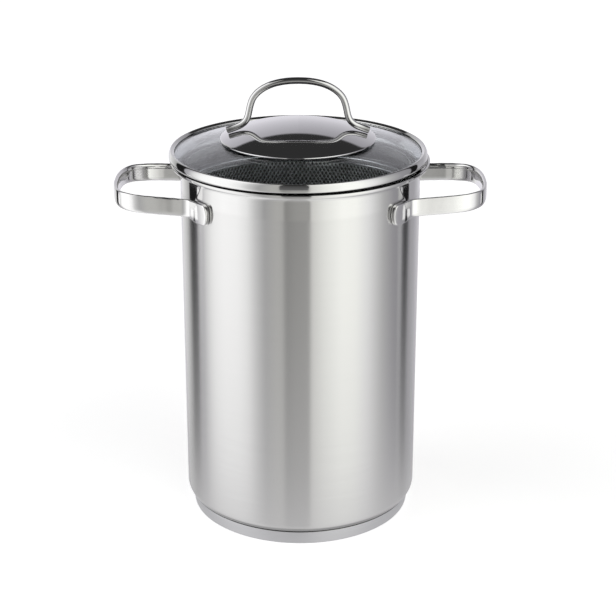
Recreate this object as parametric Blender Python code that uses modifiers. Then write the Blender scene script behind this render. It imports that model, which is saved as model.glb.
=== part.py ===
# Tall steel cooking pot for asparagus: drawn body with a bonded base, two
# strap handles, a wire-cloth basket that lifts out, and a steel-rimmed glass
# lid with a bow handle on a domed plate.
#
# Units are metres, +Z is up, the pot stands on Z = 0 with its axis on Z.
# Profiles below are written in millimetres and scaled by MM.

import math

import bmesh
import bpy
from mathutils import Vector

MM = 0.001

# ---------------------------------------------------------------- dimensions
SEG = 48                  # steps of the large turned pieces
SEG_S = 32                # steps of the small turned pieces

BODY_R = 81.0             # outer radius of the drawn body (16 cm pot)
WALL = 0.9                # sheet thickness of the body
BODY_IN = BODY_R - WALL
BODY_Z0 = 9.0             # underside of the body on the base
CORNER_R = 7.6            # outer radius of the bottom corner
WALL_TOP = 247.2          # where the lip starts to flare
LIP_R = 87.35             # widest point of the pouring lip
LIP_Z = 253.05            # top of the lip

CAP_R0 = 76.3             # base capsule, radius near the floor
CAP_R1 = 78.0             # base capsule, radius at its top edge
CAP_Z1 = 10.0             # height of the capsule's top edge

STRAP_T = 3.4             # side handle, thickness of the strap
STRAP_H = 12.2            # side handle, height of the strap on the arms
BAR_H = 11.2              # side handle, height of the strap at the grip
PAD_H = 14.2              # side handle, height of the welded pad
PAD_R = BODY_R + 0.3 + STRAP_T / 2
HANDLE_X = 124.0          # centreline of the grip from the pot's axis

LID_X = -1.4              # the lid rests a little to the left in its play
DOME_Z = 270.1            # glass, top of the dome on its axis
DOME_K = 0.001706         # glass, drop per square millimetre of radius
GLASS_T = 3.5
GLASS_R = 85.9
GLASS_HOLE = 5.0
SKIRT_R = 78.3            # lid rim, outside of the centring skirt
SKIRT_T = 0.8
SKIRT_Z = 240.7

PLATE_R = 52.3            # domed plate under the bow handle
PLATE_TOP = 277.6         # its crown
PLATE_RC = 140.2          # radius of its spherical face
PLATE_T = 1.0
BOW_D = 4.6               # round bar of the bow handle

BASKET_R = 78.2           # outside of the wire cloth
CLOTH_T = 0.6
BAND_Z0, BAND_Z1 = 228.8, 233.4
BASKET_FLOOR = 15.2
GRIP_D = 3.0              # wire of the basket's folding grips
GRIP_X = 70.9             # grip pivots from the axis
GRIP_Z = 231.0
GRIP_HALF = 18.0          # half the spacing of the grip's legs
GRIP_LEN = 21.0
LUG_Y0, LUG_Y1 = 10.6, 14.6

PART = "asparagus_pot"


# ------------------------------------------------------------------- helpers
def clear_scene():
    for ob in list(bpy.data.objects):
        bpy.data.objects.remove(ob, do_unlink=True)


def collection(name):
    col = bpy.data.collections.new(name)
    bpy.context.scene.collection.children.link(col)
    return col


def material(name, color, roughness, metallic, alpha=1.0, transmission=0.0):
    mat = bpy.data.materials.new(name)
    mat.use_nodes = True
    bsdf = mat.node_tree.nodes["Principled BSDF"]
    bsdf.inputs["Base Color"].default_value = (*color, 1.0)
    bsdf.inputs["Roughness"].default_value = roughness
    bsdf.inputs["Metallic"].default_value = metallic
    bsdf.inputs["Alpha"].default_value = alpha
    bsdf.inputs["Transmission Weight"].default_value = transmission
    return mat


def finish_object(ob, col, mat, smooth=True):
    col.objects.link(ob)
    ob.data.materials.append(mat)
    if smooth and ob.type == "MESH":
        for poly in ob.data.polygons:
            poly.use_smooth = True
    return ob


def turned(name, profile, col, mat, steps=SEG, closed=False, x=0.0):
    """Turn a profile of (radius, height) millimetres about the Z axis.

    The profile runs down its outer side.  An open one starts and ends on
    the axis, a closed one is a ring's section.
    """
    verts = [(r * MM, 0.0, z * MM) for r, z in profile]
    edges = [(i, i + 1) for i in range(len(verts) - 1)]
    if closed:
        edges.append((len(verts) - 1, 0))
    mesh = bpy.data.meshes.new(name)
    mesh.from_pydata(verts, edges, [])
    ob = bpy.data.objects.new(name, mesh)
    mod = ob.modifiers.new("turn", "SCREW")
    mod.axis = "Z"
    mod.angle = math.tau
    mod.steps = steps
    mod.render_steps = steps
    mod.screw_offset = 0.0
    mod.use_merge_vertices = True
    mod.merge_threshold = 0.00001
    mod.use_smooth_shade = True
    ob.location = (x * MM, 0.0, 0.0)
    return finish_object(ob, col, mat, smooth=False)


def arc(cx, cz, r, a0, a1, n):
    """Points on an arc, angles in degrees from +X, n spans."""
    pts = []
    for i in range(n + 1):
        a = math.radians(a0 + (a1 - a0) * i / n)
        pts.append((cx + r * math.cos(a), cz + r * math.sin(a)))
    return pts


def spline(points, step):
    """Points about `step` apart on a smooth curve through `points`."""
    pts = [Vector(p) for p in points]
    ext = [pts[0] * 2 - pts[1]] + pts + [pts[-1] * 2 - pts[-2]]
    out = [pts[0].copy()]
    for i in range(1, len(ext) - 2):
        p0, p1, p2, p3 = ext[i - 1], ext[i], ext[i + 1], ext[i + 2]
        d0 = max((p1 - p0).length, 1e-9) ** 0.5
        d1 = max((p2 - p1).length, 1e-9) ** 0.5
        d2 = max((p3 - p2).length, 1e-9) ** 0.5
        m1 = (p2 - p1) + d1 * ((p1 - p0) / d0 - (p2 - p0) / (d0 + d1))
        m2 = (p2 - p1) + d1 * ((p3 - p2) / d2 - (p3 - p1) / (d1 + d2))
        n = max(1, round((p2 - p1).length / step))
        for k in range(1, n + 1):
            t = k / n
            a = 2 * t ** 3 - 3 * t ** 2 + 1
            b = t ** 3 - 2 * t ** 2 + t
            c = -2 * t ** 3 + 3 * t ** 2
            d = t ** 3 - t ** 2
            out.append(p1 * a + m1 * b + p2 * c + m2 * d)
    return out


def lookup(table, x):
    for (x0, y0), (x1, y1) in zip(table, table[1:]):
        if x <= x1:
            t = max(0.0, (x - x0) / (x1 - x0))
            t = t * t * (3 - 2 * t)
            return y0 + (y1 - y0) * t
    return table[-1][1]


def rod(name, points, diameter, col, mat, resolution=2):
    """A round bar or wire along millimetre points."""
    curve = bpy.data.curves.new(name, "CURVE")
    curve.dimensions = "3D"
    curve.resolution_u = 1
    curve.render_resolution_u = 0
    curve.bevel_depth = diameter / 2 * MM
    curve.bevel_resolution = resolution
    curve.use_fill_caps = True
    sp = curve.splines.new("POLY")
    sp.points.add(len(points) - 1)
    for i, p in enumerate(points):
        sp.points[i].co = (p[0] * MM, p[1] * MM, p[2] * MM, 1.0)
        sp.points[i].radius = 1.0
    ob = bpy.data.objects.new(name, curve)
    col.objects.link(ob)
    curve.materials.append(mat)
    return ob


def empty(name, location, parent=None):
    ob = bpy.data.objects.new(name, None)
    ob.empty_display_size = 0.02
    bpy.context.scene.collection.objects.link(ob)
    ob.location = location
    if parent:
        ob.parent = parent
    return ob


def attach(child, parent):
    """Parent without moving the child."""
    bpy.context.view_layer.update()
    child.parent = parent
    child.matrix_parent_inverse = parent.matrix_world.inverted()


def dome(r):
    """Top of the glass at radius r."""
    return DOME_Z - DOME_K * r * r


def plate_top(r):
    """Top of the domed plate at radius r."""
    return PLATE_TOP - PLATE_RC + math.sqrt(PLATE_RC ** 2 - r * r)


# --------------------------------------------------------------------- build
clear_scene()
parts = collection(PART)
cutters = collection("cutters")
cutters.hide_render = True

steel = material("satin_steel", (0.62, 0.62, 0.61), 0.28, 1.0)
polished = material("polished_steel", (0.74, 0.74, 0.73), 0.10, 1.0)
base_steel = material("base_steel", (0.58, 0.58, 0.58), 0.33, 1.0)
alu = material("aluminium", (0.72, 0.73, 0.74), 0.40, 1.0)
glass = material("clear_glass", (0.86, 0.92, 0.93), 0.02, 0.0, 0.35, 1.0)
wire = material("basket_wire", (0.50, 0.50, 0.50), 0.25, 1.0)
silicone = material("silicone", (0.10, 0.10, 0.11), 0.55, 0.0)

# ---- body: one drawn shell, flat bottom, straight wall, flared pouring lip
corner_c = BODY_R - CORNER_R
corner_z = BODY_Z0 + CORNER_R
inner_r = CORNER_R - WALL
body_profile = (
    [(0.0, BODY_Z0 + WALL)]
    + arc(corner_c, corner_z, inner_r, -90, 0, 4)
    + [
        (BODY_IN, WALL_TOP), (80.35, 248.6), (80.95, 249.7), (81.9, 250.7),
        (83.1, 251.45), (84.5, 252.1), (85.8, 252.8), (86.8, LIP_Z),
        (87.2, 252.95), (LIP_R, 252.6), (87.3, 251.5), (87.1, 250.9),
        (86.6, 250.6), (85.7, 250.7), (84.8, 250.75), (83.6, 250.5),
        (82.5, 249.95), (81.7, 249.15), (81.2, 248.2), (BODY_R, WALL_TOP),
    ]
    + arc(corner_c, corner_z, CORNER_R, 0, -90, 4)
    + [(0.0, BODY_Z0)]
)
turned("pot_body", body_profile, parts, steel)

# ---- bonded base: a heat-spreading disc closed in by a shallow steel cap
turned("base_core", [
    (0.0, 8.7), (75.7, 8.7), (76.2, 8.0), (75.1, 1.8), (74.5, 1.1), (0.0, 1.1),
], parts, alu)
turned("base_cap", [
    (0.0, 0.8), (75.0, 0.8), (75.65, 1.5), (77.45, 9.7), (77.7, CAP_Z1),
    (CAP_R1, 9.7), (CAP_R0, 1.1), (75.9, 0.35), (75.2, 0.0), (0.0, 0.0),
], parts, base_steel)


# ---- side handles: a flat strap bent to a loop, its ends widened to pads
def handle_path():
    """Centreline in plan for +X, from the front pad to the back pad."""
    pad = []
    for deg in (43.8, 43.0, 41.8, 39.8, 37.0, 33.2):
        a = math.radians(deg)
        pad.append((PAD_R * math.cos(a), -PAD_R * math.sin(a), 0.0))
    arm = [
        (72.3, -42.2, 0), (76.0, -40.3, 0), (81.5, -39.2, 0),
        (89.0, -38.8, 0), (96.5, -38.1, 0), (104.0, -36.9, 0),
        (110.5, -34.9, 0), (115.6, -31.9, 0), (119.4, -27.6, 0),
        (121.8, -22.0, 0), (123.2, -15.0, 0), (HANDLE_X, -7.0, 0),
        (HANDLE_X + 0.1, 0.0, 0),
    ]
    half = spline(pad + arm, 5.0)
    back = [Vector((p.x, -p.y, 0.0)) for p in reversed(half[:-1])]
    return half + back


def strap_section(b, w):
    """Half height b; w runs from 0 on the pads to 1 on the arms.

    On the arms the finger side is well rounded and the outer side is flat
    with a broad soft edge below; on the pads all edges are small.
    """
    a = STRAP_T / 2

    def corner(sign, inside, along, deep):
        pts = []
        for t in (0.0, 45.0, 90.0):
            c, s = math.cos(math.radians(t)), math.sin(math.radians(t))
            u = a - deep + deep * c
            pts.append((-u if inside else u, sign * (b - along + along * s)))
        return pts

    def mix(pad, arm):
        return pad + (arm - pad) * w

    low_in = corner(-1, True, mix(0.8, 3.0), mix(0.8, 1.5))
    low_out = corner(-1, False, mix(0.8, 3.0), mix(0.8, 1.1))
    top_out = corner(1, False, mix(0.8, 0.9), mix(0.8, 0.9))
    top_in = corner(1, True, mix(0.8, 4.0), mix(0.8, 2.1))
    return low_in + low_out[::-1] + top_out + top_in[::-1]


def side_handle(name, side):
    path = handle_path()
    s = [0.0]
    for p, q in zip(path, path[1:]):
        s.append(s[-1] + (q - p).length)
    total = s[-1]
    mid_h = [(0.0, 229.9), (67.0, 229.9), (76.0, 230.6), (84.0, 231.05),
             (92.0, 231.45), (100.0, 231.85), (108.0, 232.2), (118.0, 232.8),
             (125.0, 233.1)]
    bm = bmesh.new()
    rings = []
    for i, p in enumerate(path):
        d = min(s[i], total - s[i])            # distance from the nearer tip
        if d < 5.0:
            height = PAD_H * (1 - (1 - (d + 0.3) / 5.3) ** 2.6) ** 0.42
        else:
            height = lookup([(5.0, PAD_H), (11.0, PAD_H), (22.0, STRAP_H),
                             (60.0, STRAP_H), (80.0, BAR_H)], d)
        w = lookup([(0.0, 0.0), (12.0, 0.0), (24.0, 1.0), (60.0, 1.0)], d)
        t = (path[min(i + 1, len(path) - 1)] - path[max(i - 1, 0)]).normalized()
        n = Vector((t.y, -t.x, 0.0))           # away from the loop's inside
        zc = lookup(mid_h, p.x)
        ring = []
        for u, v in strap_section(max(height / 2, 1.6), w):
            q = p + n * u
            ring.append(bm.verts.new((side * q.x * MM, q.y * MM, (zc + v) * MM)))
        rings.append(ring)
    k = len(rings[0])
    for r0, r1 in zip(rings, rings[1:]):
        for j in range(k):
            bm.faces.new((r0[j], r0[(j + 1) % k], r1[(j + 1) % k], r1[j]))
    bm.faces.new(rings[0])
    bm.faces.new(list(reversed(rings[-1])))
    bmesh.ops.recalc_face_normals(bm, faces=bm.faces)
    mesh = bpy.data.meshes.new(name)
    bm.to_mesh(mesh)
    bm.free()
    ob = bpy.data.objects.new(name, mesh)
    finish_object(ob, parts, polished)
    mesh.set_sharp_from_angle(angle=math.radians(40))
    return ob


side_handle("side_handle_left", -1)
side_handle("side_handle_right", 1)

# ---- basket: wire-cloth cup, folded top band, floor, foot ring, two grips
basket_root = empty("basket_lift", (0, 0, 0.0102))

cloth_in = BASKET_R - CLOTH_T
wall_ob = turned("basket_wall", [
    (cloth_in, 228.3), (BASKET_R, 228.3), (BASKET_R, 22.4), (77.2, 18.0),
    (75.2, 15.9), (73.2, BASKET_FLOOR), (73.2, BASKET_FLOOR + CLOTH_T),
    (74.9, 16.45), (76.7, 18.35), (cloth_in, 22.6),
], parts, wire, closed=True)
floor_ob = turned("basket_floor", [
    (0.0, BASKET_FLOOR + CLOTH_T), (72.8, BASKET_FLOOR + CLOTH_T),
    (72.8, BASKET_FLOOR), (0.0, BASKET_FLOOR),
], parts, wire)
band_ob = turned("basket_top_band", [
    (77.2, BAND_Z1), (78.4, BAND_Z1), (78.8, 232.9), (78.8, BAND_Z0),
    (76.8, BAND_Z0), (76.8, 232.9),
], parts, polished, closed=True)
foot_ob = turned("basket_foot_ring", [
    (71.8, 14.9), (74.0, 14.9), (74.4, 14.4), (74.4, 10.7), (74.0, 10.2),
    (71.8, 10.2), (71.4, 10.7), (71.4, 14.4),
], parts, polished, closed=True)
for ob in (wall_ob, floor_ob, band_ob, foot_ob):
    attach(ob, basket_root)


def lug(name, side, y0, y1):
    """An eye on the band's inside: a D-shaped outline with a pin hole."""
    curve = bpy.data.curves.new(name, "CURVE")
    curve.dimensions = "2D"
    curve.fill_mode = "BOTH"
    curve.resolution_u = 1
    curve.render_resolution_u = 0
    curve.extrude = (y1 - y0) / 2 * MM
    r = 2.9
    outer = [(3.4, -r), (3.4, r)] + arc(0, 0, r, 90, 270, 8)
    hole = arc(0, 0, GRIP_D / 2 + 0.4, 0, 360, 16)[:-1]
    for loop in (outer, hole):
        sp = curve.splines.new("POLY")
        sp.points.add(len(loop) - 1)
        for i, (u, v) in enumerate(loop):
            sp.points[i].co = (u * side * MM, v * MM, 0.0, 1.0)
        sp.use_cyclic_u = True
    ob = bpy.data.objects.new(name, curve)
    parts.objects.link(ob)
    curve.materials.append(polished)
    ob.location = (side * GRIP_X * MM, (y0 + y1) / 2 * MM, GRIP_Z * MM)
    ob.rotation_euler = (math.radians(90), 0, 0)
    attach(ob, basket_root)
    return ob


def grip(name, side):
    """A wire bail: two stubs in the eyes, two legs, one rounded bar."""
    x = side * GRIP_X
    h, n = GRIP_HALF, GRIP_LEN
    half = [(x, -(LUG_Y0 - 1.2), GRIP_Z), (x, -(h - 2.8), GRIP_Z)]
    for u, v in arc(h - 2.8, GRIP_Z - 2.8, 2.8, 72, 0, 4):
        half.append((x, -u, v))
    for u, v in arc(h - 7.0, GRIP_Z - n + 7.0, 7.0, 0, -90, 6):
        half.append((x, -u, v))
    back = [(p[0], -p[1], p[2]) for p in reversed(half)]
    ob = rod(name, half + back, GRIP_D, parts, wire)
    return ob


for label, side in (("left", -1), ("right", 1)):
    lug("grip_lug_%s_front" % label, side, -LUG_Y1, -LUG_Y0)
    lug("grip_lug_%s_rear" % label, side, LUG_Y0, LUG_Y1)
    pivot = empty("grip_pivot_" + label, (side * GRIP_X * MM, 0, GRIP_Z * MM),
                  basket_root)
    pivot.matrix_parent_inverse = basket_root.matrix_world.inverted()
    pivot.location = (side * GRIP_X * MM, 0, GRIP_Z * MM - 0.0102)
    attach(grip("basket_grip_" + label, side), pivot)

# ---- lid: crimped rim, tempered glass, domed plate with its bow handle
lid_root = empty("lid_lift", (LID_X * MM, 0, 0.2526))

skirt_in = SKIRT_R - SKIRT_T
rim_ob = turned("lid_rim", [
    (83.2, 258.95), (84.3, 259.75), (84.95, 260.15), (85.4, 260.2),
    (85.9, 259.85), (86.4, 259.05), (86.9, 257.6), (87.1, 256.0),
    (86.95, 254.9),
    (86.5, 254.35), (85.8, 253.8), (84.6, 253.5), (83.6, 253.35),
    (82.8, 253.0), (81.5, 252.2), (80.0, 251.2), (78.9, 250.3),
    (SKIRT_R, 249.0), (SKIRT_R, 241.1), (78.0, SKIRT_Z),
    (skirt_in + 0.1, SKIRT_Z), (skirt_in, 241.2), (skirt_in, 249.2),
    (78.2, 250.8), (79.4, 251.9), (81.0, 253.0), (82.3, 253.8),
    (83.3, 254.1), (85.2, 254.15), (85.95, 254.6), (86.25, 255.6),
    (86.2, 256.8), (85.85, 258.2), (85.45, 259.1), (85.0, 259.35),
    (84.4, 259.1), (83.1, 258.62),
], parts, polished, closed=True, x=LID_X)

radii = [GLASS_HOLE, 20.0, 34.0, 47.0, 59.0, 70.0, 79.0]
glass_ob = turned("lid_glass",
    [(r, dome(r)) for r in radii]
    + [(84.5, dome(84.5)), (85.5, 257.2), (GLASS_R, 256.1), (85.4, 254.9),
       (84.4, dome(84.4) - GLASS_T)]
    + [(r, dome(r) - GLASS_T) for r in reversed(radii)],
    parts, glass, closed=True, x=LID_X)

tops = [0.0, 12.0, 24.0, 35.0, 44.0, 51.4]
plate_ob = turned("lid_plate",
    [(r, plate_top(r)) for r in tops]
    + [(52.1, 267.45), (PLATE_R, 266.9), (52.0, 266.4), (51.4, 266.35),
       (50.8, plate_top(50.8) - PLATE_T)]
    + [(r, plate_top(r) - PLATE_T) for r in (44.0, 35.0, 24.0, 12.0, 0.0)],
    parts, polished, x=LID_X)


def ring_between(name, r0, r1, low, high, col, mat, steps):
    return turned(name, [(r0, high(r0)), (r1, high(r1)), (r1, low(r1)),
                         (r0, low(r0))], col, mat, steps=steps, closed=True,
                  x=LID_X)


upper_ob = ring_between("lid_seal_upper", 43.6, 47.4,
                        lambda r: dome(r) + 0.3,
                        lambda r: plate_top(r) - PLATE_T - 0.3,
                        parts, silicone, SEG_S)
lower_ob = ring_between("lid_seal_lower", 3.6, 13.0,
                        lambda r: 264.8, lambda r: 265.95,
                        parts, silicone, SEG_S)
washer_ob = ring_between("lid_washer", 3.6, 11.5,
                         lambda r: 263.4, lambda r: 264.5,
                         parts, polished, SEG_S)
stud_ob = turned("lid_stud", [
    (0.0, 276.25), (2.6, 276.25), (3.0, 275.85), (3.0, 259.6), (2.5, 259.1),
    (0.0, 259.1),
], parts, steel, steps=24, x=LID_X)

# hex cap nut: a hexagonal prism with rounded edges and a blind bore
mesh = bpy.data.meshes.new("lid_nut")
bm = bmesh.new()
bmesh.ops.create_cone(bm, cap_ends=True, segments=6, radius1=5.77 * MM,
                      radius2=5.77 * MM, depth=5.6 * MM)
bm.to_mesh(mesh)
bm.free()
nut_ob = bpy.data.objects.new("lid_nut", mesh)
nut_ob.location = (LID_X * MM, 0, 260.3 * MM)
finish_object(nut_ob, parts, polished, smooth=False)
bev = nut_ob.modifiers.new("edges", "BEVEL")
bev.width = 0.5 * MM
bev.segments = 1
bore_mesh = bpy.data.meshes.new("nut_bore")
bm = bmesh.new()
bmesh.ops.create_cone(bm, cap_ends=True, segments=20, radius1=3.4 * MM,
                      radius2=3.4 * MM, depth=6.0 * MM)
bm.to_mesh(bore_mesh)
bm.free()
bore = bpy.data.objects.new("nut_bore", bore_mesh)
cutters.objects.link(bore)
bore.location = (LID_X * MM, 0, (258.7 + 3.0) * MM)
bore.hide_render = True
bore.display_type = "WIRE"
cut = nut_ob.modifiers.new("bore", "BOOLEAN")
cut.operation = "DIFFERENCE"
cut.solver = "EXACT"
cut.object = bore

# bow handle: one round bar, bent, its splayed feet welded to the plate
bow_half = [
    (0.0, 305.9), (6.0, 305.65), (12.0, 304.8), (17.8, 303.2), (23.2, 300.6),
    (27.4, 297.3), (30.0, 293.9), (31.6, 289.8), (32.6, 285.6), (33.5, 281.8),
    (35.2, 278.4), (38.4, 275.65), (43.0, 273.65), (47.7, 271.95),
]
half = spline([(x, 0.0, z) for x, z in bow_half], 3.4)
bow_points = [(-p.x, p.y, p.z) for p in reversed(half[1:])] + [tuple(p) for p in half]
bow_points = [(p[0] + LID_X, p[1], p[2]) for p in bow_points]
bow_ob = rod("lid_bow_handle", bow_points, BOW_D, parts, polished, resolution=3)

for ob in (rim_ob, glass_ob, plate_ob, upper_ob, lower_ob, washer_ob, stud_ob,
           nut_ob, bore, bow_ob):
    attach(ob, lid_root)

bpy.context.view_layer.update()
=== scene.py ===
import math

import bmesh
import bpy
import numpy as np
from mathutils import Matrix, Vector


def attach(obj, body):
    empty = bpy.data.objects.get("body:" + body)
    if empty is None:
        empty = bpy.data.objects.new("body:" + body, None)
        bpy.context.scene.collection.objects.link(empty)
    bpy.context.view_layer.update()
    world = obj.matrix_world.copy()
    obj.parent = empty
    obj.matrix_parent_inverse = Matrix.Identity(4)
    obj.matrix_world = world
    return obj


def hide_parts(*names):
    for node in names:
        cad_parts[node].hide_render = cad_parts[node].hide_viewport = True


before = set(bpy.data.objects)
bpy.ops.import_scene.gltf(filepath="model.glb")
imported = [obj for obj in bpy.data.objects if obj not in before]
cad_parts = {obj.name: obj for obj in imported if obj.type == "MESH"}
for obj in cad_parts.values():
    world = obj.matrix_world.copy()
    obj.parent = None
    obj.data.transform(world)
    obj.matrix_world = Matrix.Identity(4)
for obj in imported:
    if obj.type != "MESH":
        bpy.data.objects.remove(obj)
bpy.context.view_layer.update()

# ------------------------------------------------------------------ constants
# Lengths in millimetres unless the name says otherwise; the frame is in metres.
MM = 0.001
STEPS = 256               # steps round the large turned pieces
BODY_R = 81.0
LID_X = -1.4              # the lid lies a little to the left in its play
DOME_Z, DOME_K, GLASS_T = 270.1, 0.001706, 3.5
PLATE_TOP, PLATE_RC = 277.6, 140.2
STRAP_T = 3.4
PAD_R = BODY_R + 0.3 + STRAP_T / 2
HANDLE_X = 124.0
WIRE = 0.80               # basket cloth, wire diameter
CLOTH_R = 77.85           # its middle surface


# ------------------------------------------------------------------- geometry
def link(ob):
    bpy.context.scene.collection.objects.link(ob)
    return ob


def mesh_object(name, verts, faces, sharp=35.0):
    """A mesh in millimetres made into an object in metres, smooth shaded."""
    me = bpy.data.meshes.new(name)
    me.from_pydata((np.asarray(verts, float) * MM).tolist(), [], faces)
    me.validate()
    bm = bmesh.new()
    bm.from_mesh(me)
    bmesh.ops.recalc_face_normals(bm, faces=bm.faces)
    bm.to_mesh(me)
    bm.free()
    me.shade_smooth()
    if sharp:
        me.set_sharp_from_angle(angle=math.radians(sharp))
    return link(bpy.data.objects.new(name, me))


def spline(points, step):
    """Points about `step` apart on a smooth curve through `points`."""
    pts = [Vector(p) for p in points]
    ext = [pts[0] * 2 - pts[1]] + pts + [pts[-1] * 2 - pts[-2]]
    out = [pts[0].copy()]
    for i in range(1, len(ext) - 2):
        p0, p1, p2, p3 = ext[i - 1], ext[i], ext[i + 1], ext[i + 2]
        d0 = max((p1 - p0).length, 1e-9) ** 0.5
        d1 = max((p2 - p1).length, 1e-9) ** 0.5
        d2 = max((p3 - p2).length, 1e-9) ** 0.5
        m1 = (p2 - p1) + d1 * ((p1 - p0) / d0 - (p2 - p0) / (d0 + d1))
        m2 = (p2 - p1) + d1 * ((p3 - p2) / d2 - (p3 - p1) / (d1 + d2))
        n = max(1, round((p2 - p1).length / step))
        for k in range(1, n + 1):
            t = k / n
            a = 2 * t ** 3 - 3 * t ** 2 + 1
            b = t ** 3 - 2 * t ** 2 + t
            c = -2 * t ** 3 + 3 * t ** 2
            d = t ** 3 - t ** 2
            out.append(p1 * a + m1 * b + p2 * c + m2 * d)
    return out


def arc(cx, cz, r, a0, a1, n):
    return [(cx + r * math.cos(math.radians(a0 + (a1 - a0) * i / n)),
             cz + r * math.sin(math.radians(a0 + (a1 - a0) * i / n)))
            for i in range(n + 1)]


def filleted(points, closed=True, n=6):
    """A profile whose third value at a corner is its fillet radius."""
    out, m = [], len(points)
    for i, p in enumerate(points):
        r = p[2] if len(p) > 2 else 0.0
        c = Vector(p[:2])
        if r <= 0 or (not closed and i in (0, m - 1)):
            out.append(tuple(c))
            continue
        a = Vector(points[(i - 1) % m][:2]) - c
        b = Vector(points[(i + 1) % m][:2]) - c
        la, lb = a.length, b.length
        a.normalize()
        b.normalize()
        half = math.acos(max(-1.0, min(1.0, a.dot(b)))) / 2
        cut = min(r / math.tan(half), 0.49 * la, 0.49 * lb)
        rad = cut * math.tan(half)
        mid = (a + b).normalized() * (rad / math.sin(half)) + c
        s, e = c + a * cut - mid, c + b * cut - mid
        a0 = math.atan2(s.y, s.x)
        da = (math.atan2(e.y, e.x) - a0 + math.pi) % math.tau - math.pi
        for k in range(n + 1):
            t = a0 + da * k / n
            out.append((mid.x + rad * math.cos(t), mid.y + rad * math.sin(t)))
    return out


def lathe(name, profile, steps=STEPS, closed=False, x=0.0, sharp=35.0):
    """Turn a profile of (radius, height) about Z. Points on the axis are poles."""
    verts, rows = [], []
    ang = np.linspace(0, math.tau, steps, endpoint=False)
    co, si = np.cos(ang), np.sin(ang)
    for r, z in profile:
        if r < 1e-6:
            rows.append([len(verts)] * steps)
            verts.append((x, 0.0, z))
        else:
            rows.append(list(range(len(verts), len(verts) + steps)))
            verts.extend(zip(x + r * co, r * si, [z] * steps))
    pairs = list(zip(rows, rows[1:])) + ([(rows[-1], rows[0])] if closed else [])
    faces = []
    for a, b in pairs:
        for i in range(steps):
            j = (i + 1) % steps
            f = []
            for v in (a[i], a[j], b[j], b[i]):
                if v not in f:
                    f.append(v)
            if len(f) > 2:
                faces.append(f)
    return mesh_object(name, verts, faces, sharp)


def tube(name, path, radius, sides=24, ends=0.35, sharp=35.0):
    """A round bar along points, its ends cut flat with a small round edge."""
    pts = [Vector(p) for p in path]
    tang = [(pts[min(i + 1, len(pts) - 1)] - pts[max(i - 1, 0)]).normalized()
            for i in range(len(pts))]
    up = Vector((0, 1, 0)) if abs(tang[0].y) < 0.9 else Vector((0, 0, 1))
    verts, rings = [], []

    def ring(c, t, u, r):
        w = t.cross(u).normalized()
        rings.append(list(range(len(verts), len(verts) + sides)))
        for k in range(sides):
            a = math.tau * k / sides
            verts.append(c + u * (r * math.cos(a)) + w * (r * math.sin(a)))

    u = (up - tang[0] * up.dot(tang[0])).normalized()
    frames = []
    for i, t in enumerate(tang):
        u = (u - t * u.dot(t)).normalized()
        frames.append((pts[i], t, u.copy()))
    c, t, u0 = frames[0]
    for q in (0.0, 0.3, 0.7):
        ring(c + t * (ends * (1 - math.cos(math.pi / 2 * q)) * 0.0), t, u0,
             radius - ends * (1 - math.sin(math.pi / 2 * q))) if q == 0.0 else \
            ring(c + t * (ends * (1 - math.cos(math.pi / 2 * q))), t, u0,
                 radius - ends * (1 - math.sin(math.pi / 2 * q)))
    for i, (c, t, uu) in enumerate(frames):
        d0 = (c - pts[0]).length
        d1 = (c - pts[-1]).length
        if d0 > ends * 1.05 and d1 > ends * 1.05:
            ring(c, t, uu, radius)
    c, t, u1 = frames[-1]
    for q in (0.7, 0.3, 0.0):
        ring(c - t * (ends * (1 - math.cos(math.pi / 2 * q))), t, u1,
             radius - ends * (1 - math.sin(math.pi / 2 * q)))
    faces = []
    for a, b in zip(rings, rings[1:]):
        for k in range(sides):
            j = (k + 1) % sides
            faces.append((a[k], a[j], b[j], b[k]))
    faces.append(tuple(rings[0]))
    faces.append(tuple(reversed(rings[-1])))
    return mesh_object(name, verts, faces, sharp)


# ------------------------------------------------------------------ materials
def new_material(name):
    mat = bpy.data.materials.new(name)
    mat.use_nodes = True
    nt = mat.node_tree
    return mat, nt, nt.nodes["Principled BSDF"]


class Nodes:
    """Short calls for building a node tree."""

    def __init__(self, nt):
        self.nt = nt

    def new(self, kind, **props):
        n = self.nt.nodes.new(kind)
        for k, v in props.items():
            setattr(n, k, v)
        return n

    def put(self, value, socket):
        if hasattr(value, "is_output") or isinstance(value, bpy.types.NodeSocket):
            self.nt.links.new(value, socket)
        else:
            socket.default_value = value

    def math(self, op, *args):
        n = self.new("ShaderNodeMath", operation=op)
        for a, s in zip(args, n.inputs):
            self.put(a, s)
        return n.outputs[0]

    def remap(self, value, f0, f1, t0, t1, smooth=False):
        n = self.new("ShaderNodeMapRange")
        if smooth:
            n.interpolation_type = "SMOOTHSTEP"
        for v, s in zip((value, f0, f1, t0, t1), n.inputs):
            self.put(v, s)
        return n.outputs[0]

    def combine(self, x, y, z):
        n = self.new("ShaderNodeCombineXYZ")
        for v, s in zip((x, y, z), n.inputs):
            self.put(v, s)
        return n.outputs[0]

    def noise(self, vector, scale, detail=2.0, rough=0.5):
        n = self.new("ShaderNodeTexNoise")
        self.put(vector, n.inputs["Vector"])
        n.inputs["Scale"].default_value = scale
        n.inputs["Detail"].default_value = detail
        n.inputs["Roughness"].default_value = rough
        return n.outputs["Fac"]

    def tint(self, color, fac):
        """color times fac."""
        n = self.new("ShaderNodeMix", data_type="RGBA", blend_type="MULTIPLY")
        n.inputs["Factor"].default_value = 1.0
        n.inputs["A"].default_value = (*color, 1.0)
        c = self.new("ShaderNodeCombineColor")
        for s in c.inputs[:3]:
            self.put(fac, s)
        self.nt.links.new(c.outputs[0], n.inputs["B"])
        return n.outputs["Result"]

    def bump(self, height, distance, strength=1.0):
        n = self.new("ShaderNodeBump")
        n.inputs["Strength"].default_value = strength
        n.inputs["Distance"].default_value = distance
        self.put(height, n.inputs["Height"])
        return n.outputs["Normal"]


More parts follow.
